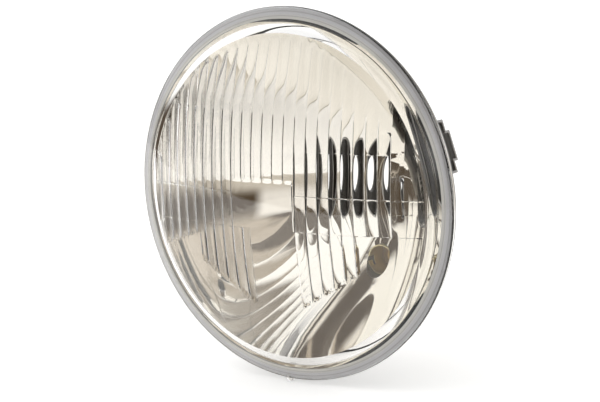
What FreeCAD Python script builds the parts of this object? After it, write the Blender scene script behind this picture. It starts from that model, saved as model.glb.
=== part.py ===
import FreeCAD, Part
import math
import os
import re
import Sketcher
from FreeCAD import Placement, Rotation, Vector

# Round glass headlight insert for a motorbike, without its bulb.
# Millimetres. The lens faces -Y, +Z is up, and Y is the lamp's axis.
# The origin is the centre of the flange's rear face, where the lamp seats.

# Driving dimensions

SIZES = {
    # Glass lens: smooth outside, domed, with a bevelled rim
    "lens_radius": 89.0,
    "lens_edge_depth": 2.0,
    "edge_bevel": 1.6,
    "land_width": 4.0,
    "land_rise": 2.6,
    "shoulder_width": 2.9,
    "shoulder_rise": 2.1,
    "dome_radius": 260.0,
    "glass_wall": 4.0,
    "lens_seat_radius": 79.5,
    "lens_inner_radius": 76.5,
    "nub_radius": 1.6,
    "nub_angle": 267.0,
    # Flutes inside the lens, in zones seen from the front
    "flute_field_radius": 75.0,
    "flute_pitch": 6.0,
    "flute_rise": 0.5,
    "soft_flute_rise": 0.25,
    "block_flute_rise": 0.7,
    "flute_base": 0.12,
    "flute_root": 1.0,
    "zone_gap": 0.6,
    "upper_seam_height": 46.0,
    "inner_seam_height": 23.0,
    "middle_seam_height": 3.0,
    "lower_seam_depth": 14.0,
    "window_top": 8.5,
    "window_left": 23.0,
    "window_right": 11.0,
    "wedge_start": 33.0,
    "wedge_angle": 18.0,
    "block_inner": 13.0,
    "block_outer": 45.0,
    "block_side_depth": 31.0,
    "block_tip_depth": 50.0,
    # Seal between glass and flange
    "seal_thickness": 1.0,
    "seal_inset": 1.0,
    "seal_width": 5.5,
    # Reflector: a drawn paraboloid with a flat flange at its mouth
    "flange_radius": 88.0,
    "flange_sheet": 1.0,
    "flange_width": 7.0,
    "focal_length": 28.5,
    "reflector_wall": 1.5,
    "neck_radius": 20.0,
    # Locating lugs: stepped strips behind the flange
    "lug_sheet": 1.2,
    "lug_top_length": 14.4,
    "lug_length": 25.0,
    "lug_top_height": 8.0,
    "lug_step_height": 5.0,
    "lug_inset": 1.0,
    "lug_width": 5.0,
    "right_lug_angle": 18.0,
    "upper_left_lug_angle": 131.0,
    "lower_left_lug_angle": 245.0,
    # Bulb seat ring, pressed into the reflector's neck
    "ring_sheet": 1.0,
    "ring_neck_clearance": 0.05,
    "ring_stand_off": 1.5,
    "ring_radius": 29.0,
    "key_notch_width": 7.0,
    "key_notch_depth": 1.6,
    "key_notch_angle": 30.0,
    # Bulb clip of spring wire, its hinge bracket and its latch hook
    "wire_radius": 0.7,
    "wire_height": 2.4,
    "wire_bend_reach": 1.2,
    "wire_clearance": 0.15,
    "clip_hinge_depth": 24.5,
    "clip_end_reach": 6.0,
    "clip_hinge_half_width": 10.5,
    "clip_waist_half_width": 15.5,
    "clip_shoulder_half_width": 11.0,
    "clip_shoulder_height": 16.0,
    "clip_neck_height": 20.0,
    "clip_loop_half_width": 4.8,
    "clip_bar_height": 27.0,
    "bracket_half_width": 8.0,
    "bracket_depth": 5.5,
    "bracket_sheet": 0.8,
    "hook_width": 4.4,
    "hook_base_length": 4.4,
    "hook_lip_reach": 1.0,
    "hook_sheet": 0.8,
    # Rubber boot over the seat ring
    "boot_wall": 2.6,
    "boot_grip_clearance": 0.1,
    "boot_foot_clearance": 0.3,
    "boot_height": 9.0,
    "boot_mouth_radius": 9.0,
    "boot_mouth_wall": 3.0,
    "boot_mouth_length": 3.4,
    "boot_tab_reach": 7.0,
    "boot_tab_width": 12.0,
    "boot_tab_thickness": 2.4,
    "boot_tab_angle": 90.0,
    # Parking lamp holder, pushed into a collar low in the reflector
    "parking_offset": 42.0,
    "parking_angle": 297.0,
    "collar_wall": 0.9,
    "collar_length": 8.4,
    "holder_radius": 7.4,
    "holder_clearance": 0.2,
    "holder_wall": 0.6,
    "holder_inset": 2.0,
    "holder_flange_width": 1.2,
    "holder_flange_thickness": 1.0,
    "holder_tail_length": 6.0,
    "slot_width": 2.2,
    "slot_length": 5.0,
    "slot_hook": 2.5,
    "insulator_inset": 0.6,
    "insulator_thickness": 2.5,
    "insulator_clearance": 0.05,
    "contact_radius": 3.4,
    "contact_thickness": 0.8,
    "blade_width": 6.3,
    "blade_thickness": 0.8,
    "blade_length": 10.0,
    "blade_clearance": 0.05,
}


def on_parabola(vertex, radius):
    """Height at a radius on a paraboloid with the reflector's focal length."""
    return f"({vertex} - ({radius})^2 / (4 * focal_length))"


# Heights and radii that follow from the driving dimensions, forward is -Y
SEAL_FRONT = "(flange_sheet + seal_thickness)"
EDGE_FRONT = f"({SEAL_FRONT} + lens_edge_depth)"
BEVEL_FRONT = f"({EDGE_FRONT} + edge_bevel)"
LAND_INNER = "(lens_radius - edge_bevel - land_width)"
LAND_FRONT = f"({BEVEL_FRONT} + land_rise)"
DOME_EDGE = f"({LAND_INNER} - shoulder_width)"
DOME_FRONT = f"({LAND_FRONT} + shoulder_rise)"
DOME_CENTRE = f"(sqrt(dome_radius^2 - {DOME_EDGE}^2) - {DOME_FRONT})"
INNER_DOME = "(dome_radius - glass_wall)"
LENS_APEX = f"(dome_radius - {DOME_CENTRE})"
SEAL_OUTER = "(flange_radius - seal_inset)"
MOUTH = "(flange_radius - flange_width)"
VERTEX = f"({MOUTH}^2 / (4 * focal_length) - flange_sheet)"
REAR_VERTEX = f"({VERTEX} + reflector_wall)"
REAR_MOUTH = f"sqrt(4 * focal_length * {REAR_VERTEX})"
RING_FRONT = f"({REAR_VERTEX} - neck_radius^2 / (4 * focal_length) + ring_stand_off)"
RING_REAR = f"({RING_FRONT} + ring_sheet)"
WIRE_Y = f"({RING_REAR} + wire_height)"
BOOT_INNER = "(ring_radius + boot_grip_clearance)"
BOOT_OUTER = f"({BOOT_INNER} + boot_wall)"
HOLE_RADIUS = "(holder_radius + holder_clearance)"
COLLAR_RADIUS = f"({HOLE_RADIUS} + collar_wall)"
PARKING_X = "(parking_offset * cos(parking_angle))"
PARKING_Z = "(parking_offset * sin(parking_angle))"
HOLDER_FLANGE_RADIUS = "(holder_radius + holder_flange_width)"
COLLAR_REAR = f"({on_parabola(REAR_VERTEX, 'parking_offset')} + collar_length)"
HOLDER_FRONT = f"({on_parabola(VERTEX, 'parking_offset')} + holder_inset)"
HOLDER_FLANGE_REAR = f"({COLLAR_REAR} + holder_flange_thickness)"
HOLDER_REAR = f"({HOLDER_FLANGE_REAR} + holder_tail_length)"
HOLDER_BORE = "(holder_radius - holder_wall)"

# Straight runs that follow each curved profile: they keep the piece light, within 0.4 mm of the curve
DOME_RUNS = 5
INNER_DOME_RUNS = 6
MIRROR_RUNS = 5
MIRROR_WIDENING = 1.25


def runs(inner, outer, count, widening=1):
    """Radii from inner to outer, at the ends of a number of runs that are equal or widen outwards."""
    shares = [(step / count) ** widening for step in range(count + 1)]
    return [f"({inner} + ({outer} - {inner}) * {share:.3f})" for share in shares]


# Document and sheet

doc = FreeCAD.newDocument("headlight_insert")
sheet = doc.addObject("Spreadsheet::Sheet", "Sizes")
for row, (alias, number) in enumerate(SIZES.items(), start=1):
    sheet.set(f"A{row}", alias)
    sheet.set(f"B{row}", str(number))
    sheet.setAlias(f"B{row}", alias)
doc.recompute()

WORDS = re.compile(r"[a-z][a-z_]*")


def tied(formula):
    """The formula with each size name pointing at its cell in the sheet."""
    return WORDS.sub(lambda word: "Sizes." + word[0] if word[0] in SIZES else word[0], formula)


def size(formula):
    """The formula's value now."""
    return float(sheet.evalExpression(tied(formula)))


def bind(item, prop, formula):
    item.setExpression(prop, tied(formula))


# Sketches and bodies

XY, XZ, YZ = "XY_Plane", "XZ_Plane", "YZ_Plane"
LINE_START, LINE_END = 1, 2
THIRD_TURN = 120


def attached_sketch(body, plane):
    sketch = body.newObject("Sketcher::SketchObject", body.Name + "_sketch")
    support = [feature for feature in body.Origin.OriginFeatures if feature.Role == plane]
    sketch.AttachmentSupport = (support[0], [""])
    sketch.MapMode = "FlatFace"
    return sketch


def hold_coordinate(sketch, kind, edge, end, formula):
    """Tie one coordinate of an edge's end to the sheet."""
    value = size(formula)
    if value < 0:
        index = sketch.addConstraint(Sketcher.Constraint(kind, edge, end, -1, 1, -value))
        bind(sketch, f"Constraints[{index}]", f"-({formula})")
    else:
        index = sketch.addConstraint(Sketcher.Constraint(kind, -1, 1, edge, end, value))
        bind(sketch, f"Constraints[{index}]", formula)


def draw_outline(sketch, corners):
    """A closed outline through corners, pairs of formulas."""
    points = [Vector(size(across), size(along), 0) for across, along in corners]
    count = len(points)
    for start, finish in zip(points, points[1:] + points[:1]):
        sketch.addGeometry(Part.LineSegment(start, finish))
    for edge, (across, along) in enumerate(corners):
        sketch.addConstraint(
            Sketcher.Constraint("Coincident", edge, LINE_END, (edge + 1) % count, LINE_START))
        hold_coordinate(sketch, "DistanceX", edge, LINE_START, across)
        hold_coordinate(sketch, "DistanceY", edge, LINE_START, along)


def turned_body(name, corners):
    """A body of revolution about the lamp's axis, from (radius, height) corners."""
    body = doc.addObject("PartDesign::Body", name)
    sketch = attached_sketch(body, XY)
    draw_outline(sketch, corners)
    turn = body.newObject("PartDesign::Revolution", name + "_turn")
    turn.Profile = sketch
    turn.ReferenceAxis = (sketch, ["V_Axis"])
    turn.Angle = 360
    return body


def padded_body(name, plane, corners, length, offset=None):
    """A body padded both ways from a plane, or one way from an offset plane."""
    body = doc.addObject("PartDesign::Body", name)
    sketch = attached_sketch(body, plane)
    draw_outline(sketch, corners)
    pad = body.newObject("PartDesign::Pad", name + "_pad")
    pad.Profile = sketch
    bind(pad, "Length", length)
    if offset is None:
        pad.SideType = "Symmetric"
    else:
        bind(sketch, "AttachmentOffset.Base.z", offset)
    return body


def box(left, right, low, high):
    return [(left, low), (right, low), (right, high), (left, high)]


ALONG_AXIS = Rotation(Vector(1, 0, 0), -90)
ACROSS_LAMP = Rotation(Vector(0, 1, 0), 90)


def cylinder(name, radius, length, x, y, z, turn=ALONG_AXIS):
    """A cylinder that starts at (x, y, z) and runs along +Y, or along +X when turned across."""
    item = doc.addObject("Part::Cylinder", name)
    item.Placement = Placement(Vector(), turn)
    bind(item, "Radius", radius)
    bind(item, "Height", length)
    for axis, formula in zip("xyz", (x, y, z)):
        bind(item, "Placement.Base." + axis, formula)
    return item


def block(name, lengths, corner):
    item = doc.addObject("Part::Box", name)
    for prop, formula in zip(("Length", "Width", "Height"), lengths):
        bind(item, prop, formula)
    for axis, formula in zip("xyz", corner):
        bind(item, "Placement.Base." + axis, formula)
    return item


def joined(name, items):
    item = doc.addObject("Part::MultiFuse", name)
    item.Shapes = items
    return item


def cut(name, base, tool):
    item = doc.addObject("Part::Cut", name)
    item.Base = base
    item.Tool = tool
    return item


def common(name, base, tool):
    item = doc.addObject("Part::Common", name)
    item.Base = base
    item.Tool = tool
    return item


def turned_about_axis(item, angle):
    """Turn an item about the lamp's axis, anticlockwise seen from the front."""
    item.Placement = Placement(Vector(), Rotation(Vector(0, -1, 0), 1))
    bind(item, "Placement.Rotation.Angle", angle)
    return item


nodes = []


def sub_part(item, label):
    """Name an item as a piece of the lamp."""
    item.Label = label
    nodes.append(item)
    return item


# Lens: a turned blank, its edge nub, and zones of vertical flutes on the inner dome

def on_dome(radius, sphere):
    """A corner at a radius on a sphere about the dome's centre."""
    return radius, f"{DOME_CENTRE} - sqrt({sphere}^2 - {radius}^2)"


def lens_blank():
    outside = [on_dome(radius, "dome_radius") for radius in runs("0", DOME_EDGE, DOME_RUNS)]
    inside = [on_dome(radius, INNER_DOME) for radius in runs("0", "lens_inner_radius", INNER_DOME_RUNS)]
    return turned_body("lens_blank", outside + [
        (LAND_INNER, f"-{LAND_FRONT}"),
        ("lens_radius - edge_bevel", f"-{BEVEL_FRONT}"),
        ("lens_radius", f"-{EDGE_FRONT}"),
        ("lens_radius", f"-{SEAL_FRONT}"),
        ("lens_seat_radius", f"-{SEAL_FRONT}"),
    ] + inside[::-1])


def flute_layer(name, rise, low, high):
    """A row of convex flutes side by side, leaning with the inner dome from one height to another."""
    centre = size(DOME_CENTRE)
    inner = size(INNER_DOME)
    valley = inner - size("flute_base")
    crest = valley - size(rise)
    root = inner + size("flute_root")
    pitch = size("flute_pitch")
    count = 2 * math.ceil(size("lens_inner_radius") / pitch)

    def on_arc(across, radius):
        return Vector(across, centre - math.sqrt(radius**2 - across**2), 0)

    lines = [pitch * (step - count / 2) for step in range(count + 1)]
    edges = []
    for left, right in zip(lines, lines[1:]):
        middle = on_arc((left + right) / 2, crest)
        edges.append(Part.Arc(on_arc(left, valley), middle, on_arc(right, valley)).toShape())
    first, last = lines[0], lines[-1]
    edges.append(Part.makeLine(on_arc(last, valley), on_arc(last, root)))
    edges.append(Part.Arc(on_arc(last, root), on_arc(0, root), on_arc(first, root)).toShape())
    edges.append(Part.makeLine(on_arc(first, root), on_arc(first, valley)))
    face = Part.Face(Part.Wire(edges))

    # Lift the row from the dome's middle to the chord between the two heights, and lean it along
    bottom, top = size(low), size(high)
    bottom_angle, top_angle = math.asin(bottom / inner), math.asin(top / inner)
    lean = (bottom_angle + top_angle) / 2
    half = inner * math.sin((top_angle - bottom_angle) / 2)
    lift = inner - inner * math.cos((top_angle - bottom_angle) / 2)
    spare = size("flute_pitch")
    pivot = Vector(0, centre, 0)
    row = face.extrude(Vector(0, 0, 2 * (half + spare)))
    row.translate(Vector(0, lift, -half - spare))
    row.rotate(pivot, Vector(1, 0, 0), -math.degrees(lean))
    layer = doc.addObject("Part::Feature", name)
    layer.Shape = row
    return layer


def flute_zones():
    """The fluted zones: rise of the flutes, the heights that they lean between, and the
    outline, (x, z) seen from the front."""
    gap = "zone_gap / 2"
    side = "lens_radius"
    left_window = f"-window_left - {gap}"
    right_window = f"window_right + {gap}"
    above_middle = f"middle_seam_height + {gap}"
    below_middle = f"middle_seam_height - {gap}"
    above_lower = f"-lower_seam_depth + {gap}"
    below_lower = f"-lower_seam_depth - {gap}"
    below_inner = f"inner_seam_height - {gap}"
    wedge = "tan(wedge_angle)"
    return {
        "upper_zone": (
            "soft_flute_rise", "upper_seam_height", "flute_field_radius",
            box(f"-{side}", side, f"upper_seam_height + {gap}", side)),
        "outer_zone": (
            "flute_rise", "inner_seam_height", "upper_seam_height",
            box(f"-{side}", side, f"inner_seam_height + {gap}", f"upper_seam_height - {gap}")),
        "middle_zone": (
            "flute_rise", "middle_seam_height", "inner_seam_height", [
                (f"-{side}", above_middle),
                (left_window, above_middle),
                (left_window, f"window_top + {gap}"),
                (right_window, f"window_top + {gap}"),
                (right_window, above_middle),
                (side, above_middle),
                (side, below_inner),
                (f"-{side}", below_inner),
            ]),
        "wedge_zone": (
            "flute_rise", "-lower_seam_depth", "middle_seam_height", [
                (f"-{side}", f"{above_lower} - ({side} - wedge_start) * {wedge}"),
                ("-wedge_start", above_lower),
                (left_window, above_lower),
                (left_window, below_middle),
                (f"-{side}", below_middle),
            ]),
        "right_zone": (
            "flute_rise", "-lower_seam_depth", "middle_seam_height",
            box(right_window, side, above_lower, below_middle)),
        "left_block": (
            "block_flute_rise", "-block_tip_depth", "-lower_seam_depth", [
                ("-block_outer", "-block_side_depth"),
                ("-block_inner", "-block_tip_depth"),
                ("-block_inner", below_lower),
                ("-wedge_start", below_lower),
                ("-block_outer", f"{below_lower} - (block_outer - wedge_start) * {wedge}"),
            ]),
        "right_block": (
            "block_flute_rise", "-block_tip_depth", "-lower_seam_depth", [
                ("block_inner", "-block_tip_depth"),
                ("block_outer", "-block_side_depth"),
                ("block_outer", below_lower),
                ("block_inner", below_lower),
            ]),
    }


def lens():
    deep = f"4 * {LENS_APEX}"
    field = cylinder("flute_field", "flute_field_radius", deep, "0", f"-{deep} / 2", "0")
    pieces = [lens_blank()]
    pieces.append(cylinder(
        "edge_nub", "nub_radius", "lens_edge_depth",
        "lens_radius * cos(nub_angle)", f"-{EDGE_FRONT}", "lens_radius * sin(nub_angle)"))
    for name, (rise, low, high, outline) in flute_zones().items():
        zone = common(name + "_field", padded_body(name, XZ, outline, deep), field)
        layer = flute_layer(name + "_layer", rise, low, high)
        pieces.append(common(name + "_flutes", layer, zone))
    return joined("lens", pieces)


def lens_seal():
    return turned_body("lens_seal", box(
        f"{SEAL_OUTER} - seal_width", SEAL_OUTER, f"-{SEAL_FRONT}", "-flange_sheet"))


# Reflector: paraboloid, flange, neck hole and parking lamp collar

def reflector():
    def turned_parabola(vertex, outer):
        radii = runs("neck_radius", outer, MIRROR_RUNS, MIRROR_WIDENING)
        return [(radius, on_parabola(vertex, radius)) for radius in radii]

    mirror = turned_parabola(VERTEX, MOUTH)
    back = turned_parabola(REAR_VERTEX, REAR_MOUTH)
    flange = [("flange_radius", "-flange_sheet"), ("flange_radius", "0")]
    shell = turned_body("reflector_shell", mirror + flange + back[::-1])
    cavity = turned_body("mirror_cavity", [("0", "-flange_sheet")] + mirror[::-1] + [("0", mirror[0][1])])
    collar = cylinder("collar_tube", COLLAR_RADIUS, COLLAR_REAR, PARKING_X, "0", PARKING_Z)
    hole = cylinder("collar_hole", HOLE_RADIUS, COLLAR_REAR, PARKING_X, "0", PARKING_Z)
    blank = joined("reflector_blank", [shell, cut("collar", collar, cavity)])
    return cut("reflector", blank, hole)


# Locating lugs

def locating_lug(name, angle):
    """A stepped strip that stands behind the flange, open underneath."""
    inside = [
        ("0", "-(lug_length / 2 - lug_sheet)"),
        ("lug_step_height - lug_sheet", "-(lug_length / 2 - lug_sheet)"),
        ("lug_step_height - lug_sheet", "-(lug_top_length / 2 - lug_sheet)"),
        ("lug_top_height - lug_sheet", "-(lug_top_length / 2 - lug_sheet)"),
    ]
    outside = [
        ("lug_top_height", "-lug_top_length / 2"),
        ("lug_step_height", "-lug_top_length / 2"),
        ("lug_step_height", "-lug_length / 2"),
        ("0", "-lug_length / 2"),
    ]

    def mirrored(points):
        return [(height, f"-({along})") for height, along in reversed(points)]

    outline = inside + mirrored(inside) + mirrored(outside) + outside
    body = padded_body(name, YZ, outline, "lug_width", "flange_radius - lug_inset - lug_width")
    return turned_about_axis(body, angle)


# Bulb seat ring, with key notches round its bore

def bulb_seat_ring():
    bore = "(neck_radius - ring_neck_clearance - ring_sheet)"
    sleeve = "(neck_radius - ring_neck_clearance)"
    sleeve_front = on_parabola(VERTEX, "neck_radius")
    ring = turned_body("ring_pressing", [
        (bore, sleeve_front),
        (sleeve, sleeve_front),
        (sleeve, RING_FRONT),
        ("ring_radius", RING_FRONT),
        ("ring_radius", RING_REAR),
        (bore, RING_REAR),
    ])
    notches = []
    for turn in range(3):
        notch = padded_body(
            f"key_notch_{turn}", XY,
            box("0", f"{bore} + key_notch_depth", RING_FRONT, RING_REAR), "key_notch_width")
        notches.append(turned_about_axis(notch, f"key_notch_angle + {THIRD_TURN * turn}"))
    return cut("bulb_seat_ring", ring, joined("key_notches", notches))


# Bulb clip

ROD_SIDES = 8
MITRED_CORNERS = 1


def bent_rod(points, reach, radius):
    """An eight-sided rod through points in one plane across the lamp's axis, the first run along X.
    Each corner is taken by one short run that starts at a reach from it."""
    path = [points[0]]
    for before, corner, after in zip(points, points[1:], points[2:]):
        path.append(corner + (before - corner).normalize() * reach)
        path.append(corner + (after - corner).normalize() * reach)
    path.append(points[-1])
    turns = [2 * math.pi * (side + 0.5) / ROD_SIDES for side in range(ROD_SIDES)]
    section = [path[0] + Vector(0, math.cos(turn), math.sin(turn)) * radius for turn in turns]
    outline = Part.makePolygon(section + section[:1])
    return Part.makePolygon(path).makePipeShell([outline], True, False, MITRED_CORNERS)


def bulb_clip():
    """Spring wire: two ends in the hinge bracket, two legs past the bulb, a finger bar under the hook."""
    half = [
        ("clip_end_reach", "-clip_hinge_depth"),
        ("clip_hinge_half_width", "-clip_hinge_depth"),
        ("clip_waist_half_width", "0"),
        ("clip_shoulder_half_width", "clip_shoulder_height"),
        ("clip_loop_half_width", "clip_neck_height"),
        ("clip_loop_half_width", "clip_bar_height"),
    ]
    height = size(WIRE_Y)
    right = [Vector(size(across), height, size(up)) for across, up in half]
    left = [Vector(-point.x, point.y, point.z) for point in right]
    item = doc.addObject("Part::Feature", "bulb_clip")
    item.Shape = bent_rod(left + right[::-1], size("wire_bend_reach"), size("wire_radius"))
    return item


def clip_hinge_bracket():
    """A folded channel whose two ears hold the wire's ends."""
    top = f"{WIRE_Y} + wire_radius + wire_clearance + bracket_sheet"
    channel = padded_body("bracket_channel", XY, [
        ("-bracket_half_width", RING_REAR),
        ("bracket_half_width", RING_REAR),
        ("bracket_half_width", top),
        ("bracket_half_width - bracket_sheet", top),
        ("bracket_half_width - bracket_sheet", f"{RING_REAR} + bracket_sheet"),
        ("-(bracket_half_width - bracket_sheet)", f"{RING_REAR} + bracket_sheet"),
        ("-(bracket_half_width - bracket_sheet)", top),
        ("-bracket_half_width", top),
    ], "bracket_depth")
    bind(channel, "Placement.Base.z", "-clip_hinge_depth")
    eyes = cylinder(
        "bracket_eyes", "wire_radius + wire_clearance", "2 * bracket_half_width",
        "-bracket_half_width", WIRE_Y, "-clip_hinge_depth", ACROSS_LAMP)
    return cut("clip_hinge_bracket", channel, eyes)


def clip_latch_hook():
    """A strip folded up and over the wire's finger bar."""
    stem = "(clip_bar_height - wire_radius - wire_clearance)"
    lip_under = f"({WIRE_Y} + wire_radius + wire_clearance)"
    tip = "clip_bar_height + wire_radius + hook_lip_reach"
    return padded_body("clip_latch_hook", YZ, [
        (RING_REAR, f"{stem} - hook_sheet - hook_base_length"),
        (f"{RING_REAR} + hook_sheet", f"{stem} - hook_sheet - hook_base_length"),
        (f"{RING_REAR} + hook_sheet", f"{stem} - hook_sheet"),
        (f"{lip_under} + hook_sheet", f"{stem} - hook_sheet"),
        (f"{lip_under} + hook_sheet", tip),
        (lip_under, tip),
        (lip_under, stem),
        (RING_REAR, stem),
    ], "hook_width")


# Rubber boot with pull tabs

def rubber_boot():
    foot = f"({on_parabola(REAR_VERTEX, BOOT_INNER)} + boot_foot_clearance)"
    ceiling = f"({RING_REAR} + boot_height)"
    roof = f"({ceiling} + boot_wall)"
    mouth_outer = "boot_mouth_radius + boot_mouth_wall"
    mouth_rear = f"{roof} + boot_mouth_length"
    shell = turned_body("boot_shell", [
        (BOOT_INNER, foot),
        (BOOT_OUTER, foot),
        (BOOT_OUTER, roof),
        (mouth_outer, roof),
        (mouth_outer, mouth_rear),
        ("boot_mouth_radius", mouth_rear),
        ("boot_mouth_radius", ceiling),
        (BOOT_INNER, ceiling),
    ])
    pieces = [shell]
    for turn in range(3):
        tab = padded_body(
            f"boot_tab_{turn}", XY,
            box(f"{BOOT_OUTER} - boot_wall / 2", f"{BOOT_OUTER} + boot_tab_reach",
                foot, f"{foot} + boot_tab_thickness"), "boot_tab_width")
        pieces.append(turned_about_axis(tab, f"boot_tab_angle + {THIRD_TURN * turn}"))
    return joined("rubber_boot", pieces)


# Parking lamp holder

def at_parking_place(item):
    bind(item, "Placement.Base.x", PARKING_X)
    bind(item, "Placement.Base.z", PARKING_Z)
    return item


def parking_lamp_holder():
    """A sleeve with a stop flange and two bayonet slots."""
    sleeve = turned_body("holder_sleeve", [
        (HOLDER_BORE, HOLDER_FRONT),
        ("holder_radius", HOLDER_FRONT),
        ("holder_radius", COLLAR_REAR),
        (HOLDER_FLANGE_RADIUS, COLLAR_REAR),
        (HOLDER_FLANGE_RADIUS, HOLDER_FLANGE_REAR),
        ("holder_radius", HOLDER_FLANGE_REAR),
        ("holder_radius", HOLDER_REAR),
        (HOLDER_BORE, HOLDER_REAR),
    ])
    slots = joined("bayonet_slots", [
        block("slot_run", ("2 * holder_radius", "slot_length", "slot_width"),
              ("-holder_radius", HOLDER_FRONT, "-slot_width / 2")),
        block("slot_hook_right", ("holder_radius", "slot_width", "slot_width + slot_hook"),
              ("0", f"{HOLDER_FRONT} + slot_length - slot_width", "-slot_width / 2")),
        block("slot_hook_left", ("holder_radius", "slot_width", "slot_width + slot_hook"),
              ("-holder_radius", f"{HOLDER_FRONT} + slot_length - slot_width",
               "-slot_width / 2 - slot_hook")),
    ])
    return at_parking_place(cut("parking_lamp_holder", sleeve, slots))


INSULATOR_REAR = f"({HOLDER_REAR} - insulator_inset)"
INSULATOR_FRONT = f"({INSULATOR_REAR} - insulator_thickness)"


def parking_lamp_insulator():
    disc = cylinder(
        "insulator_disc", f"{HOLDER_BORE} - insulator_clearance", "insulator_thickness",
        "0", INSULATOR_FRONT, "0")
    slot = block(
        "insulator_slot",
        ("blade_width + 2 * blade_clearance", "insulator_thickness",
         "blade_thickness + 2 * blade_clearance"),
        ("-blade_width / 2 - blade_clearance", INSULATOR_FRONT,
         "-blade_thickness / 2 - blade_clearance"))
    return at_parking_place(cut("parking_lamp_insulator", disc, slot))


def parking_lamp_contact():
    button = cylinder(
        "contact_button", "contact_radius", "contact_thickness",
        "0", f"{INSULATOR_FRONT} - contact_thickness", "0")
    blade = block(
        "contact_blade",
        ("blade_width", "insulator_thickness + blade_length", "blade_thickness"),
        ("-blade_width / 2", INSULATOR_FRONT, "-blade_thickness / 2"))
    return at_parking_place(joined("parking_lamp_contact", [button, blade]))


# Assembly

sub_part(lens(), "lens")
sub_part(lens_seal(), "lens_seal")
sub_part(reflector(), "reflector")
for side in ("right", "upper_left", "lower_left"):
    sub_part(locating_lug("lug_" + side, side + "_lug_angle"), "locating_lug_" + side)
sub_part(bulb_seat_ring(), "bulb_seat_ring")
sub_part(bulb_clip(), "bulb_clip")
sub_part(clip_hinge_bracket(), "clip_hinge_bracket")
sub_part(clip_latch_hook(), "clip_latch_hook")
sub_part(rubber_boot(), "rubber_boot")
sub_part(parking_lamp_holder(), "parking_lamp_holder")
sub_part(parking_lamp_insulator(), "parking_lamp_insulator")
sub_part(parking_lamp_contact(), "parking_lamp_contact")
doc.recompute()

# Checks, then one file for each piece

for item in doc.Objects:
    if "Invalid" in item.State or "Error" in item.State:
        raise RuntimeError(f"{item.Name} failed: {item.State}")
for item in nodes:
    if item.Shape.isNull() or not item.Shape.isValid() or not item.Shape.Solids:
        raise RuntimeError(f"{item.Label} has no valid solid")

os.makedirs("parts", exist_ok=True)
for item in nodes:
    item.Shape.exportStep(f"parts/{item.Label}.step")
    print(f"{item.Label}: {len(item.Shape.Solids)} solids, {item.Shape.Volume:.1f} mm3")
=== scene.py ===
import math

import bmesh
import bpy
from mathutils import Matrix, Vector


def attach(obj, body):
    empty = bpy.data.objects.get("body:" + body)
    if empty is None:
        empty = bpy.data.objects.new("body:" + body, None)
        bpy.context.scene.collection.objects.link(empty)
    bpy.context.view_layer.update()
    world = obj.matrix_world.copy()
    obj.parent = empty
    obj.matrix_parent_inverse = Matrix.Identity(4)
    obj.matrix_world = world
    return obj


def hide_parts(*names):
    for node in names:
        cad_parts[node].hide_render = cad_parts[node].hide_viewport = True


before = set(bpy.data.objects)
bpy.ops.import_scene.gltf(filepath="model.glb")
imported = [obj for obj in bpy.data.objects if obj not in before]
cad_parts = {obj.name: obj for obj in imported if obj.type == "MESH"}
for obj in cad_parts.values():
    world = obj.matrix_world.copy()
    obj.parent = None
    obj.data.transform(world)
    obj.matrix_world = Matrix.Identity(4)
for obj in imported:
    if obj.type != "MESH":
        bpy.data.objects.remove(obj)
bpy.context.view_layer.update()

# Sizes in millimetres, the same as the solids have. The lens faces -Y, Y is the lamp's axis.

MM = 0.001
AXIS = (0, 1, 0)
TURN = 2 * math.pi

DOME_RADIUS = 260.0
DOME_EDGE = 80.5
DOME_FRONT = 10.3
DOME_CENTRE = math.sqrt(DOME_RADIUS**2 - DOME_EDGE**2) - DOME_FRONT
INNER_DOME = 256.0
DOME_RINGS = 24
BEVEL_HEAD, BEVEL_FOOT = (83.4, -8.2), (87.4, -5.6)
RIM = 89.0
RIM_FRONT, RIM_REAR = -4.0, -2.0
RIM_INNER = 79.5
RIM_ROUND = 0.5
LENS_INNER = 76.5
SHEET_RADIUS = 76.2
FLUTE_FIELD = 75.5
FLUTE_PITCH = 6.0
FLUTE_SHIFT = 1.3
FLUTE_BASE = 0.08

FOCAL = 28.5
MOUTH = 81.0
NECK = 20.0
FLANGE = 88.0
FLANGE_SHEET = 1.0
MIRROR_VERTEX = MOUTH**2 / (4 * FOCAL) - FLANGE_SHEET
REFLECTOR_WALL = 1.5
REAR_VERTEX = MIRROR_VERTEX + REFLECTOR_WALL
MIRROR_RINGS, BACK_RINGS = 64, 41
PARKING_OFFSET = 42.0
PARKING_ANGLE = math.radians(297)
PARKING = (PARKING_OFFSET * math.cos(PARKING_ANGLE), PARKING_OFFSET * math.sin(PARKING_ANGLE))
HOLE_RADIUS = 7.6
COLLAR_RADIUS = 8.5
COLLAR_REACH = 8.4
COLLAR_REAR = REAR_VERTEX - PARKING_OFFSET**2 / (4 * FOCAL) + COLLAR_REACH
COLLAR_INSET = 0.5
NUB_RADIUS = 1.6
NUB_ANGLE = math.radians(267)
NUB = (RIM * math.cos(NUB_ANGLE), RIM * math.sin(NUB_ANGLE))
SEAL_INNER, SEAL_OUTER = 81.5, 87.0
SEAL_FRONT = RIM_REAR + 0.03


# Meshes

TURN_STEPS = 192
CREASE = math.radians(40)
SHARP = math.radians(35)


def finished(bm, name, slot, finishes, *nodes):
    """Close a mesh, in metres, into a piece of the lamp that stands for CAD nodes."""
    for face in bm.faces:
        face.smooth = True
    for edge in bm.edges:
        edge.smooth = edge.calc_face_angle(0) < CREASE
    mesh = bpy.data.meshes.new(name)
    bm.to_mesh(mesh)
    bm.free()
    for finish in finishes:
        mesh.materials.append(finish)
    piece = bpy.data.objects.new(name, mesh)
    bpy.context.scene.collection.objects.link(piece)
    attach(piece, "root")
    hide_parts(*nodes)
    return piece


def in_metres(bm):
    bmesh.ops.scale(bm, vec=(MM, MM, MM), verts=bm.verts)
    return bm


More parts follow.
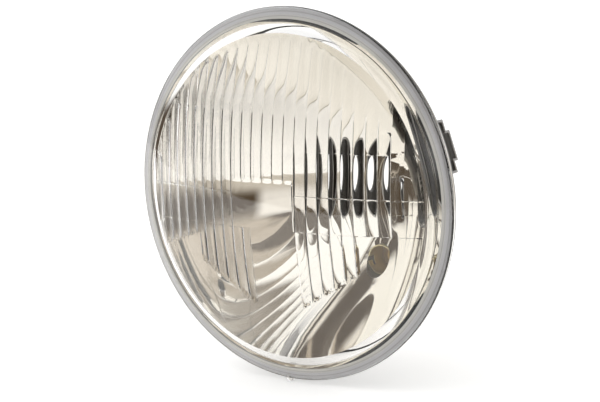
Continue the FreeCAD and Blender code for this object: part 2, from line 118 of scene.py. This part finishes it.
def drawn_path(bm, corners, centre=(0, 0)):
    """Straight edges through (radius, height) corners, in a plane through an axis along Y."""
    x, z = centre
    points = [bm.verts.new((x + radius, height, z)) for radius, height in corners]
    for start, finish in zip(points, points[1:]):
        bm.edges.new((start, finish))
    return points


def rounded(bm, points, radius):
    """Round the corners of a path."""
    bmesh.ops.bevel(
        bm, geom=points, offset=radius, offset_type="OFFSET", affect="VERTICES",
        segments=4, profile=0.5, material=-1)


def turned(bm, geom, steps=TURN_STEPS, centre=(0, 0)):
    """Turn what is drawn about an axis along Y into a surface."""
    x, z = centre
    bmesh.ops.spin(
        bm, geom=geom, cent=(x, 0, z), axis=AXIS, angle=TURN, steps=steps, use_merge=True)
    bmesh.ops.remove_doubles(bm, verts=bm.verts, dist=1e-3)


def boundary(bm):
    return [edge for edge in bm.edges if edge.is_boundary]


def from_axis(place):
    return math.hypot(place.x, place.z)


def softened(node, name, slot, finish, width, segments=2):
    """A copy of a CAD solid with its edges rounded, as pressed and moulded parts have them."""
    bm = bmesh.new()
    bm.from_mesh(bpy.data.objects[node].data)
    bmesh.ops.remove_doubles(bm, verts=bm.verts, dist=1e-6)
    bmesh.ops.dissolve_limit(
        bm, angle_limit=math.radians(1), verts=bm.verts, edges=bm.edges)
    sharp = [edge for edge in bm.edges if edge.calc_face_angle(0) > SHARP]
    bmesh.ops.bevel(
        bm, geom=sharp, offset=width * MM, offset_type="OFFSET", affect="EDGES",
        segments=segments, profile=0.5, material=-1, clamp_overlap=True)
    return finished(bm, name, slot, [finish], node)


# Lens

HALF_GAP = 0.15
UPPER_SEAM, MIDDLE_SEAM, LOWER_SEAM = 23.0, 3.0, -14.0
SEAMS = ((UPPER_SEAM, 0.03), (MIDDLE_SEAM, 0.07), (LOWER_SEAM, 0.07))
WINDOW_LEFT, WINDOW_RIGHT, WINDOW_TOP = -23.0, 12.0, 8.5
WEDGE_START = -33.0
WEDGE_SLOPE = math.tan(math.radians(18))
BLOCK_INNER, BLOCK_OUTER = 13.0, 45.0
BLOCK_FOOT, BLOCK_SLOPE = -31.0, 19 / 32
TIP_LEVEL = 38.0
TIP_TAPER = 0.04
SOFT_RISE, FULL_RISE, BLOCK_RISE = 0.30, 0.55, 0.7
ROUND_SHARE = 0.7
FLUTE_END = 3.0
SHEET_FLUTES, FLUTE_COLUMNS, SHEET_ROWS = 27, 24, 156
SHEET_MARGIN = 0.2
VALLEY_CROWDING = 1.8
ARC_CENTRE, ARC_RADIUS = (-8.5, 4.0), 73.5
FAINT_SHARE = 0.15


def flute_rises(x, z):
    """The rises of the flutes that reach a place, none on plain glass."""
    if z > MIDDLE_SEAM:
        in_window = WINDOW_LEFT < x < WINDOW_RIGHT and z < WINDOW_TOP
        full = 0.0 if in_window else FULL_RISE
        return full, SOFT_RISE if z > TIP_LEVEL else 0.0
    wedge_line = LOWER_SEAM - max(0.0, WEDGE_START - x) * WEDGE_SLOPE
    if z > wedge_line:
        return (FULL_RISE if x < WINDOW_LEFT or x > WINDOW_RIGHT else 0.0), 0.0
    tip_line = BLOCK_FOOT - (BLOCK_OUTER - abs(x)) * BLOCK_SLOPE
    in_block = BLOCK_INNER < abs(x) < BLOCK_OUTER and z > tip_line
    return (BLOCK_RISE if in_block else 0.0), 0.0


def relief(x, z):
    """How far the flutes stand in from the inner dome. The full ones taper up into the soft ones."""
    full, soft = flute_rises(x, z)
    flute = (x - FLUTE_SHIFT) / FLUTE_PITCH
    across = 2 * (flute % 1.0) - 1
    middle = (math.floor(flute) + 0.5) * FLUTE_PITCH + FLUTE_SHIFT

    def crowned(centre, radius):
        """The crown of a flute that ends round within a circle."""
        reach = math.sqrt(max(0.0, radius**2 - (middle - centre[0])**2))
        end = max(0.0, abs(z - centre[1]) - reach + FLUTE_END) / FLUTE_END
        inside = max(0.0, 1 - across**2 - end**2)
        return ROUND_SHARE * inside + (1 - ROUND_SHARE) * (1 - (1 - inside)**3)

    field = crowned((0, 0), FLUTE_FIELD)
    crown = min(field, max(crowned(ARC_CENTRE, ARC_RADIUS), FAINT_SHARE * field))
    depth = max(full * crown - TIP_TAPER * max(0.0, z - TIP_LEVEL), soft * crown, 0.0)
    groove = max((deep for level, deep in SEAMS if abs(z - level) < HALF_GAP / 2), default=0.0)
    return FLUTE_BASE + depth - groove if full + soft else 0.0


def inner_face():
    """The fluted inside of the glass: a fine sheet, cut to a circle and pressed to its relief."""
    bm = bmesh.new()
    half = SHEET_FLUTES * FLUTE_PITCH / 2
    shift = FLUTE_SHIFT - FLUTE_PITCH / 2
    bmesh.ops.create_grid(
        bm, x_segments=SHEET_FLUTES * FLUTE_COLUMNS, y_segments=SHEET_ROWS, size=half,
        matrix=Matrix.Rotation(math.pi / 2, 4, "X"))
    for vert in bm.verts:
        flute = (vert.co.x + half) / FLUTE_PITCH
        across = 2 * (flute % 1.0) - 1
        crowded = math.copysign(1 - (1 - abs(across))**VALLEY_CROWDING, across)
        vert.co.x += (crowded - across) * FLUTE_PITCH / 2 + shift
    for seam, _ in SEAMS:
        for offset in (-HALF_GAP, 0, HALF_GAP):
            bmesh.ops.bisect_plane(
                bm, geom=bm.verts[:] + bm.edges[:] + bm.faces[:], dist=1e-5,
                plane_co=(0, 0, seam + offset), plane_no=(0, 0, 1))
    outside = [vert for vert in bm.verts if from_axis(vert.co) > SHEET_RADIUS + SHEET_MARGIN]
    bmesh.ops.delete(bm, geom=outside, context="VERTS")
    rim = {vert for edge in boundary(bm) for vert in edge.verts}
    for vert in rim:
        vert.co *= SHEET_RADIUS / from_axis(vert.co)
    for vert in bm.verts:
        x, _, z = vert.co
        pressed = 0.0 if vert in rim else relief(x, z)
        vert.co.y = DOME_CENTRE - math.sqrt(INNER_DOME**2 - x * x - z * z) + pressed
    mesh = bpy.data.meshes.new("inner_face")
    bm.to_mesh(mesh)
    bm.free()
    return mesh


def lens(glass):
    bm = bmesh.new()
    radii = [DOME_EDGE * i / DOME_RINGS for i in range(DOME_RINGS)]
    dome = [(radius, DOME_CENTRE - math.sqrt(DOME_RADIUS**2 - radius**2)) for radius in radii]
    inner_edge = DOME_CENTRE - math.sqrt(INNER_DOME**2 - LENS_INNER**2)
    path = drawn_path(bm, dome + [
        (DOME_EDGE, -DOME_FRONT), BEVEL_HEAD, BEVEL_FOOT, (RIM, RIM_FRONT), (RIM, RIM_REAR),
        (RIM_INNER, RIM_REAR), (LENS_INNER, inner_edge)])
    rounded(bm, path[len(dome) + 1:-1], RIM_ROUND)
    turned(bm, bm.verts[:] + bm.edges[:])
    sheet = inner_face()
    bm.from_mesh(sheet)
    bpy.data.meshes.remove(sheet)
    bmesh.ops.bridge_loops(bm, edges=boundary(bm))
    nub_place = Matrix.Translation((NUB[0], (RIM_FRONT + RIM_REAR) / 2, NUB[1]))
    bmesh.ops.create_cone(
        bm, cap_ends=True, segments=24, radius1=NUB_RADIUS, radius2=NUB_RADIUS,
        depth=RIM_REAR - RIM_FRONT, matrix=nub_place @ Matrix.Rotation(math.pi / 2, 4, "X"))
    bmesh.ops.recalc_face_normals(bm, faces=bm.faces)
    return finished(in_metres(bm), "pressed_lens", "glass", [glass], "lens")


# Reflector

def on_parabola(vertex, radius):
    return vertex - radius**2 / (4 * FOCAL)


def parabola(bm, vertex, inner, outer, count):
    """A path along a parabola of the reflector's focal length, from one radius to another."""
    step = (outer - inner) / count
    radii = [inner + step * i for i in range(count)] + [outer]
    drawn_path(bm, [(radius, on_parabola(vertex, radius)) for radius in radii])


def pierced(bm):
    """Cut the parking lamp's round hole through both faces of the reflector."""
    margin = 0.3
    middle = MIRROR_VERTEX + REFLECTOR_WALL / 2
    centre = Vector((PARKING[0], 0, PARKING[1]))
    inside = [vert for vert in bm.verts if from_axis(vert.co - centre) < HOLE_RADIUS + margin]
    bmesh.ops.delete(bm, geom=inside, context="VERTS")
    for vert in {vert for edge in boundary(bm) for vert in edge.verts}:
        mirrored = vert.co.y < on_parabola(middle, from_axis(vert.co))
        out = vert.co - centre
        out.y = 0
        vert.co = centre + out.normalized() * HOLE_RADIUS
        vert.co.y = on_parabola(MIRROR_VERTEX if mirrored else REAR_VERTEX, from_axis(vert.co))
    bmesh.ops.bridge_loops(bm, edges=boundary(bm))


def collar(bm):
    """The short tube behind the parking lamp's hole; its front edge lies in the reflector's wall."""
    drawn_front = -1.0
    path = drawn_path(bm, [
        (HOLE_RADIUS, drawn_front), (HOLE_RADIUS, COLLAR_REAR), (COLLAR_RADIUS, COLLAR_REAR),
        (COLLAR_RADIUS, drawn_front)], PARKING)
    bm.edges.new((path[-1], path[0]))
    edges = {edge for vert in path for edge in vert.link_edges}
    turned(bm, path + list(edges), TURN_STEPS // 4, PARKING)
    for vert in bm.verts:
        if vert.co.y == drawn_front and from_axis(vert.co) < PARKING_OFFSET + 2 * COLLAR_RADIUS:
            vert.co.y = on_parabola(MIRROR_VERTEX + COLLAR_INSET, from_axis(vert.co))


def reflector(mirror, back):
    bm = bmesh.new()
    rear_mouth = math.sqrt(4 * FOCAL * REAR_VERTEX)
    parabola(bm, MIRROR_VERTEX, NECK, MOUTH, MIRROR_RINGS)
    parabola(bm, REAR_VERTEX, NECK, rear_mouth, BACK_RINGS)
    drawn_path(bm, [(MOUTH, -FLANGE_SHEET), (FLANGE, -FLANGE_SHEET), (FLANGE, 0), (rear_mouth, 0)])
    drawn_path(bm, [(NECK, on_parabola(vertex, NECK)) for vertex in (MIRROR_VERTEX, REAR_VERTEX)])
    turned(bm, bm.verts[:] + bm.edges[:])
    pierced(bm)
    collar(bm)
    bmesh.ops.recalc_face_normals(bm, faces=bm.faces)
    coat_depth, coat_facing = 0.1, -0.05
    for face in bm.faces:
        centre = face.calc_center_median()
        behind = centre.y - on_parabola(MIRROR_VERTEX, from_axis(centre))
        coated = behind < coat_depth and face.normal.y < coat_facing
        face.material_index = 0 if coated else 1
    return finished(
        in_metres(bm), "mirrored_reflector", "mirror_metal", [mirror, back], "reflector")


def seal(sealant):
    """The sealant between glass and flange, a hair thinner than its solid so that no faces coincide."""
    bm = bmesh.new()
    path = drawn_path(bm, [
        (SEAL_INNER, -FLANGE_SHEET), (SEAL_INNER, SEAL_FRONT), (SEAL_OUTER, SEAL_FRONT),
        (SEAL_OUTER, -FLANGE_SHEET)])
    bm.edges.new((path[-1], path[0]))
    turned(bm, bm.verts[:] + bm.edges[:])
    bmesh.ops.recalc_face_normals(bm, faces=bm.faces)
    return finished(in_metres(bm), "sealant_ring", "sealant", [sealant], "lens_seal")


# Finishes

class Wire:
    """One output socket of a node tree. An operator on it adds a Math node."""

    def __init__(self, nodes, socket):
        self.nodes = nodes
        self.socket = socket

    def __add__(self, other):
        return self.nodes.math("ADD", self, other)

    def __sub__(self, other):
        return self.nodes.math("SUBTRACT", self, other)

    def __rsub__(self, other):
        return self.nodes.math("SUBTRACT", other, self)

    def __mul__(self, other):
        return self.nodes.math("MULTIPLY", self, other)

    __radd__ = __add__
    __rmul__ = __mul__

    def step(self, low, high):
        """0 up to low, 1 from high on, and a smooth change between them."""
        return self.nodes.node(
            "ShaderNodeMapRange", {"interpolation_type": "SMOOTHSTEP"},
            {"Value": self, "From Min": low, "From Max": high})

    def between(self, low, high, blur):
        """1 between two bounds, with a smooth change of so much about each."""
        return self.step(low - blur, low + blur) * (1 - self.step(high - blur, high + blur))


class Nodes:
    """The node tree of a material or a world, under construction."""

    def __init__(self, owner, shader):
        owner.use_nodes = True
        self.owner = owner
        self.tree = owner.node_tree
        self.shader = self.tree.nodes[shader]

    def feed(self, sockets, values):
        """Link wires to sockets, or set the sockets' own values."""
        for key, value in values.items():
            if isinstance(value, Wire):
                self.tree.links.new(value.socket, sockets[key])
            else:
                sockets[key].default_value = value

    def node(self, kind, settings=(), inputs=(), out=0):
        """A new node of a type, with its settings and the values or links of its sockets."""
        node = self.tree.nodes.new(kind)
        for key, value in dict(settings).items():
            setattr(node, key, value)
        self.feed(node.inputs, dict(inputs))
        return Wire(self, node.outputs[out])

    def math(self, operation, *values):
        """A Math node, whose sockets share a name and are fed by number."""
        return self.node("ShaderNodeMath", {"operation": operation}, enumerate(values))

    def place(self, kind="Object"):
        """The three coordinates of a place on a piece, or of a direction."""
        vector = self.node("ShaderNodeTexCoord", out=kind)
        return [
            self.node("ShaderNodeSeparateXYZ", inputs={"Vector": vector}, out=axis) for axis in "XYZ"]

    def noise(self, scale, detail=3.0):
        vector = self.node("ShaderNodeTexCoord", out="Object")
        return self.node(
            "ShaderNodeTexNoise",
            inputs={"Vector": vector, "Scale": scale, "Detail": detail, "Roughness": 0.55})

    def mixed(self, factor, low, high):
        """A colour between two, by a factor."""
        return self.node("ShaderNodeMix", {"data_type": "RGBA"}, {0: factor, 6: low, 7: high}, 2)

    def bump(self, height, depth):
        """A relief of so many metres as a normal."""
        return self.node(
            "ShaderNodeBump", inputs={"Strength": 1.0, "Distance": depth, "Height": height})

    def ray(self, kind):
        """A property of the light's path, such as whether the camera sees it directly."""
        return self.node("ShaderNodeLightPath", out=kind)

    def set(self, **inputs):
        """Feed the shader's own sockets, and hand over the finished material or world."""
        self.feed(self.shader.inputs, {key.replace("_", " "): value for key, value in inputs.items()})
        return self.owner


def finish(name):
    return Nodes(bpy.data.materials.new(name), "Principled BSDF")


def pressed_glass():
    glass = finish("pressed_glass")
    return glass.set(
        Base_Color=glass.mixed(glass.noise(30), (0.99, 0.985, 0.975, 1), (0.995, 0.99, 0.985, 1)),
        Normal=glass.bump(glass.noise(90, 2), 0.01 * MM),
        Roughness=0.0, IOR=1.51, Transmission_Weight=1.0)


def mirror_coat():
    mirror = finish("mirror_coat")
    return mirror.set(
        Base_Color=mirror.mixed(mirror.noise(40), (0.90, 0.88, 0.83, 1), (0.93, 0.91, 0.87, 1)),
        Normal=mirror.bump(mirror.noise(60, 2), 0.01 * MM),
        Roughness=0.02, Metallic=1.0)


def plain_metal(name, dark, light, roughness):
    """Bare or plated metal between two colours, with a fine grain in its polish."""
    metal = finish(name)
    return metal.set(
        Base_Color=metal.mixed(metal.noise(60), dark, light),
        Roughness=metal.noise(400) * 0.15 + roughness,
        Metallic=1.0)


def plain_mould(name, dark, light, roughness):
    """Moulded or pressed stuff between two colours, with a fine grain on its face."""
    mould = finish(name)
    return mould.set(
        Base_Color=mould.mixed(mould.noise(80), dark, light),
        Roughness=mould.noise(300) * 0.2 + roughness,
        Normal=mould.bump(mould.noise(900), 0.03 * MM))


def white_sealant():
    """Off-white, a little warmer and lighter inside than outside as a painted highlight, with two fine
    dark rings of painted shade.
    """
    # Painted highlight: the inner colour is lighter and warmer. Painted shade: the grey of two thin dark
    # rings.
    highlight_warm, cool, shade_line_grey = (0.93, 0.92, 0.87, 1), (0.88, 0.88, 0.91, 1), (0.62, 0.61, 0.62, 1)
    highlight_end, cool_start = 83.2, 84.2
    inner_shade_line, outer_shade_line = (83.0, 83.3, 0.1), (85.4, 85.8, 0.2)
    sealant = finish("sealant")
    x, _, z = sealant.place()
    radius = sealant.math("SQRT", x * x + z * z) * (1 / MM)
    # Painted highlight: the band inside this radius is lighter and warmer than the rest.
    highlight_tone = sealant.mixed(radius.step(highlight_end, cool_start), highlight_warm, cool)
    # Painted shade: two thin dark rings, as cast by the glass's edges and a gap.
    shade_lines = radius.between(*inner_shade_line) + radius.between(*outer_shade_line)
    return sealant.set(
        Base_Color=sealant.mixed(shade_lines + sealant.noise(80) * 0.2, highlight_tone, shade_line_grey),
        Roughness=sealant.noise(300) * 0.2 + 0.4)


# Camera, in metres and degrees

AZIMUTH, ELEVATION, ROLL = (math.radians(angle) for angle in (35.695, 9.402, -2.0))
DISTANCE = 1.0
FOCUS = Vector((0, -0.004, 0))
SENSOR = 36.0
FOCAL_LENGTH = 127.537
SHIFT_ACROSS, SHIFT_UP = 0.0150, -0.0095


def camera():
    back = Vector((
        math.sin(AZIMUTH) * math.cos(ELEVATION), -math.cos(AZIMUTH) * math.cos(ELEVATION),
        math.sin(ELEVATION)))
    across = Vector((math.cos(AZIMUTH), math.sin(AZIMUTH), 0))
    up = back.cross(across)
    right = across * math.cos(ROLL) + up * math.sin(ROLL)
    data = bpy.data.cameras.new("camera")
    data.sensor_fit = "HORIZONTAL"
    data.sensor_width = SENSOR
    data.lens = FOCAL_LENGTH
    data.shift_x = SHIFT_ACROSS
    data.shift_y = SHIFT_UP
    view = bpy.data.objects.new("camera", data)
    bpy.context.scene.collection.objects.link(view)
    turn = Matrix((right, back.cross(right), back)).transposed()
    view.matrix_world = Matrix.Translation(FOCUS + back * DISTANCE) @ turn.to_4x4()
    bpy.context.scene.camera = view


# Studio. Side and rise are degrees to the right of straight ahead and above it.

WHITE, BLACK = (1, 1, 1, 1), (0, 0, 0, 1)
PLAIN_LEVEL = 0.95
DEGREES = 180 / math.pi
DARK_LEFT, DARK_RIGHT = (0.080, 0.057, 0.036, 1), (0.090, 0.064, 0.040, 1)
WALL_TONE = (0.565, 0.49, 0.40, 1)
CEILING_LIGHT, CEILING_DIM = (1.02, 0.98, 0.92, 1), (0.40, 0.335, 0.255, 1)
OVERHEAD_TONE = (0.185, 0.147, 0.105, 1)
CARD_TONE = (1.02, 0.98, 0.92, 1)
SOFT_BOX_TONE = (1.2, 1.19, 1.15, 1)
TABLE_EDGE_TONE, TABLE_TONE = (0.665, 0.61, 0.53, 1), (1.16, 1.13, 1.07, 1)
LAMP_PLACE = Vector((-0.9, -1.0, 1.3))
LAMP_SIZE, LAMP_POWER = 1.2, 6.0
FLOOR_PLACE, FLOOR_HALF = (-0.85, 0.88, -0.0906), 1.3
FLOOR_GLOW = 0.3


def dark_room(world, side, rise):
    """A dark room with a wall at the right, a ceiling, a white card ahead and a soft box at the left."""
    room = world.mixed(side.step(-12, 12), DARK_LEFT, DARK_RIGHT)
    wall = (side + rise * 0.1).step(35, 45) * rise.step(13, 25)
    room = world.mixed(wall, room, WALL_TONE)
    ceiling = world.mixed(side.step(12, 28), CEILING_LIGHT, CEILING_DIM)
    room = world.mixed(rise.between(46, 61, 4), room, ceiling)
    room = world.mixed(rise.step(58, 64), room, OVERHEAD_TONE)
    card = side.between(0, 42, 3) * (1 - rise.step(17, 23))
    room = world.mixed(card, room, CARD_TONE)
    foot = (rise - side * 0.4).step(10, 19) * rise.step(3, 9)
    right_edge = 1 - (side - rise * 1.2).step(-56, -44)
    top = 1 - (rise + side * 0.15).step(58, 66)
    return world.mixed(foot * right_edge * top, room, SOFT_BOX_TONE)


def white_table(world, room, side, rise):
    """The room with a white table below it, whose edge is darker and falls off at the right."""
    right = side.step(-16, -4)
    tilted = rise + side.step(45, 75) * 6
    room = world.mixed((1 - tilted.step(-4, 6)) * right, room, TABLE_EDGE_TONE)
    return world.mixed(1 - (tilted - right * 3).step(-17, -11), room, TABLE_TONE)


def studio():
    """The glass and the metal show the studio, white behind the lamp; all else is lit at a plain level."""
    world = Nodes(bpy.data.worlds.new("studio"), "Background")
    bpy.context.scene.world = world.owner
    x, y, z = world.place("Generated")
    side = world.math("ARCTAN2", x, 0 - y) * DEGREES
    rise = world.math("ARCSINE", z) * DEGREES
    scenery = white_table(world, dark_room(world, side, rise), side, rise)
    scenery = world.mixed(y.step(0.0, 0.3), scenery, WHITE)
    shiny = world.ray("Is Glossy Ray") + world.ray("Is Transmission Ray")
    unscattered = 1 - world.ray("Diffuse Depth")
    plain = (PLAIN_LEVEL, PLAIN_LEVEL, PLAIN_LEVEL, 1)
    light = world.mixed(shiny * unscattered, plain, scenery)
    world.set(Color=world.mixed(world.ray("Is Camera Ray"), light, WHITE), Strength=1.0)


def key_light():
    data = bpy.data.lights.new("key", "AREA")
    data.size = LAMP_SIZE
    data.energy = LAMP_POWER
    lamp = bpy.data.objects.new("key", data)
    lamp.location = LAMP_PLACE
    lamp.rotation_euler = (-LAMP_PLACE).to_track_quat("-Z", "Y").to_euler()
    lamp.visible_glossy = False
    lamp.visible_transmission = False
    bpy.context.scene.collection.objects.link(lamp)


def white_paper():
    """White paper that glows for the camera, and less so in the glass and the metal."""
    paper = finish("white_paper")
    shiny = paper.ray("Is Glossy Ray") + paper.ray("Is Transmission Ray")
    reflected = paper.mixed(shiny, BLACK, (0.88, 0.84, 0.78, 1))
    return paper.set(
        Base_Color=paper.mixed(paper.noise(20), (0.93, 0.925, 0.91, 1), (0.95, 0.945, 0.93, 1)),
        Emission_Color=paper.mixed(paper.ray("Is Camera Ray"), reflected, WHITE),
        Emission_Strength=FLOOR_GLOW, Roughness=0.9)


def floor():
    bm = bmesh.new()
    bmesh.ops.create_grid(
        bm, x_segments=1, y_segments=1, size=FLOOR_HALF, matrix=Matrix.Translation(FLOOR_PLACE))
    mesh = bpy.data.meshes.new("floor")
    bm.to_mesh(mesh)
    bm.free()
    mesh.materials.append(white_paper())
    sheet = bpy.data.objects.new("floor", mesh)
    bpy.context.scene.collection.objects.link(sheet)


# The lamp

steel_back = plain_metal("painted_back", (0.30, 0.30, 0.29, 1), (0.36, 0.355, 0.345, 1), 0.40)
dark_steel = plain_metal("dark_steel", (0.28, 0.27, 0.26, 1), (0.36, 0.35, 0.34, 1), 0.03)
seat_steel = plain_metal("seat_steel", (0.42, 0.41, 0.39, 1), (0.55, 0.54, 0.52, 1), 0.30)
spring = plain_metal("spring_wire", (0.38, 0.37, 0.36, 1), (0.52, 0.51, 0.50, 1), 0.25)
gold_zinc = plain_metal("yellow_zinc", (0.86, 0.75, 0.42, 1), (0.93, 0.84, 0.54, 1), 0.40)
brass = plain_metal("brass", (0.62, 0.45, 0.18, 1), (0.74, 0.57, 0.27, 1), 0.28)
rubber = plain_mould("black_rubber", (0.012, 0.012, 0.013, 1), (0.022, 0.022, 0.023, 1), 0.45)
board = plain_mould("brown_board", (0.30, 0.19, 0.09, 1), (0.38, 0.25, 0.13, 1), 0.5)
lens(pressed_glass())
reflector(mirror_coat(), steel_back)
seal(white_sealant())
for side in ("right", "upper_left", "lower_left"):
    softened("locating_lug_" + side, "lug_strip_" + side, "lug_steel", dark_steel, 0.4, 3)
softened("bulb_seat_ring", "seat_ring", "seat_steel", seat_steel, 0.2)
softened("bulb_clip", "spring_clip", "seat_steel", spring, 0.15)
softened("clip_hinge_bracket", "hinge_plate", "seat_steel", seat_steel, 0.15)
softened("clip_latch_hook", "latch_plate", "seat_steel", seat_steel, 0.12)
softened("rubber_boot", "moulded_boot", "boot_rubber", rubber, 0.5, 3)
softened("parking_lamp_holder", "holder_sleeve", "yellow_metal", gold_zinc, 0.12)
softened("parking_lamp_insulator", "holder_board", "insulator", board, 0.15)
softened("parking_lamp_contact", "holder_blade", "contact_brass", brass, 0.12)

bpy.context.scene.view_settings.view_transform = "Standard"
camera()
studio()
key_light()
floor()
